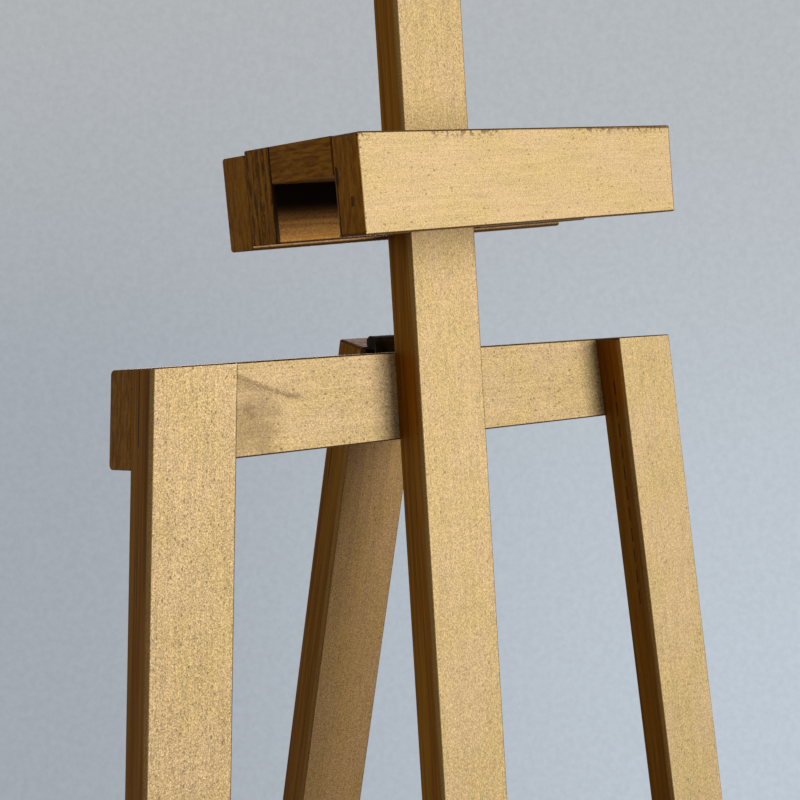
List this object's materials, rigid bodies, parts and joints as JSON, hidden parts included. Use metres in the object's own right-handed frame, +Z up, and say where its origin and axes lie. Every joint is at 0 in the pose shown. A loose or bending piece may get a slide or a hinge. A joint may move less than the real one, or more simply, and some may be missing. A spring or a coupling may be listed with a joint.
{
  "type": "folding wooden display easel",
  "caption": "Folding wooden A-frame easel with a hinged rear leg, a canvas shelf and a canvas clamp that slides on its mast.",
  "frame": {"origin": "on the floor, in the middle of the standing easel's footprint box", "axes": "+Z up, front towards -Y, +X to the right of someone who faces the easel"},
  "size_m": [0.5216, 0.3592, 1.6589],
  "materials": {
    "gold_wood": "wood painted metallic gold, satin, with fine dark pores",
    "zinc_steel": "zinc plated",
    "aged_hinge_metal": "dark antique brass",
    "plain_dowel_wood": "bare beech",
    "foot_rubber": "matt black",
    "insert_brass": "plain turned brass",
    "knob_plastic": "matt black"
  },
  "bodies": {
    "front_frame": {"left_front_leg": "gold_wood", "right_front_leg": "gold_wood", "mast": "gold_wood", "top_crossbar": "gold_wood", "lower_crossbar": "gold_wood", "frame_screws": "zinc_steel", "shelf_rail": "gold_wood", "shelf_board": "gold_wood", "shelf_lip": "gold_wood", "shelf_screws": "zinc_steel", "shelf_dowels": "plain_dowel_wood", "left_foot_pad": "foot_rubber", "right_foot_pad": "foot_rubber", "hinge_frame_leaf": "aged_hinge_metal", "hinge_pin": "aged_hinge_metal", "hinge_frame_screws": "zinc_steel", "frame_cord_eye": "zinc_steel"},
    "rear_leg": {"back_leg": "gold_wood", "hinge_leg_leaf": "aged_hinge_metal", "hinge_leg_screws": "zinc_steel", "back_foot_pad": "foot_rubber", "leg_cord_eye": "zinc_steel"},
    "canvas_clamp": {"clamp_front_board": "gold_wood", "clamp_top_board": "gold_wood", "clamp_left_block": "gold_wood", "clamp_right_block": "gold_wood", "clamp_rear_board": "gold_wood", "clamp_screws": "zinc_steel", "clamp_dowels": "plain_dowel_wood", "clamp_insert": "insert_brass"},
    "press_pad": {"clamp_press_pad": "zinc_steel"},
    "knob_and_stud": {"clamp_knob": "knob_plastic", "clamp_stud": "zinc_steel"}
  },
  "joints": [
    {"name": "rear_leg_fold", "type": "hinge", "parent": "front_frame", "child": "rear_leg", "pos_m": [0, -0.04789, 1.04304], "axis": [-1, 0, 0], "range_deg": [0, 16.5]},
    {"name": "clamp_slide", "type": "slide", "parent": "front_frame", "child": "canvas_clamp", "axis": [0, 0.0906, 0.9959], "range_m": [-0.04, 0.5]},
    {"name": "clamp_travel", "type": "slide", "parent": "canvas_clamp", "child": "press_pad", "axis": [-0.0017, 0.998, -0.0628], "range_m": [0, 0.0025]},
    {"name": "clamp_knob_turn", "type": "hinge", "parent": "press_pad", "child": "knob_and_stud", "pos_m": [-0.00003, -0.04083, 1.11244], "axis": [-0.0017, 0.998, -0.0628], "range_deg": [0, 720]}
  ],
  "couplings": [
    {"joint": "clamp_knob_turn", "follows": "clamp_travel", "rad_per_m": 5026.5}
  ]
}
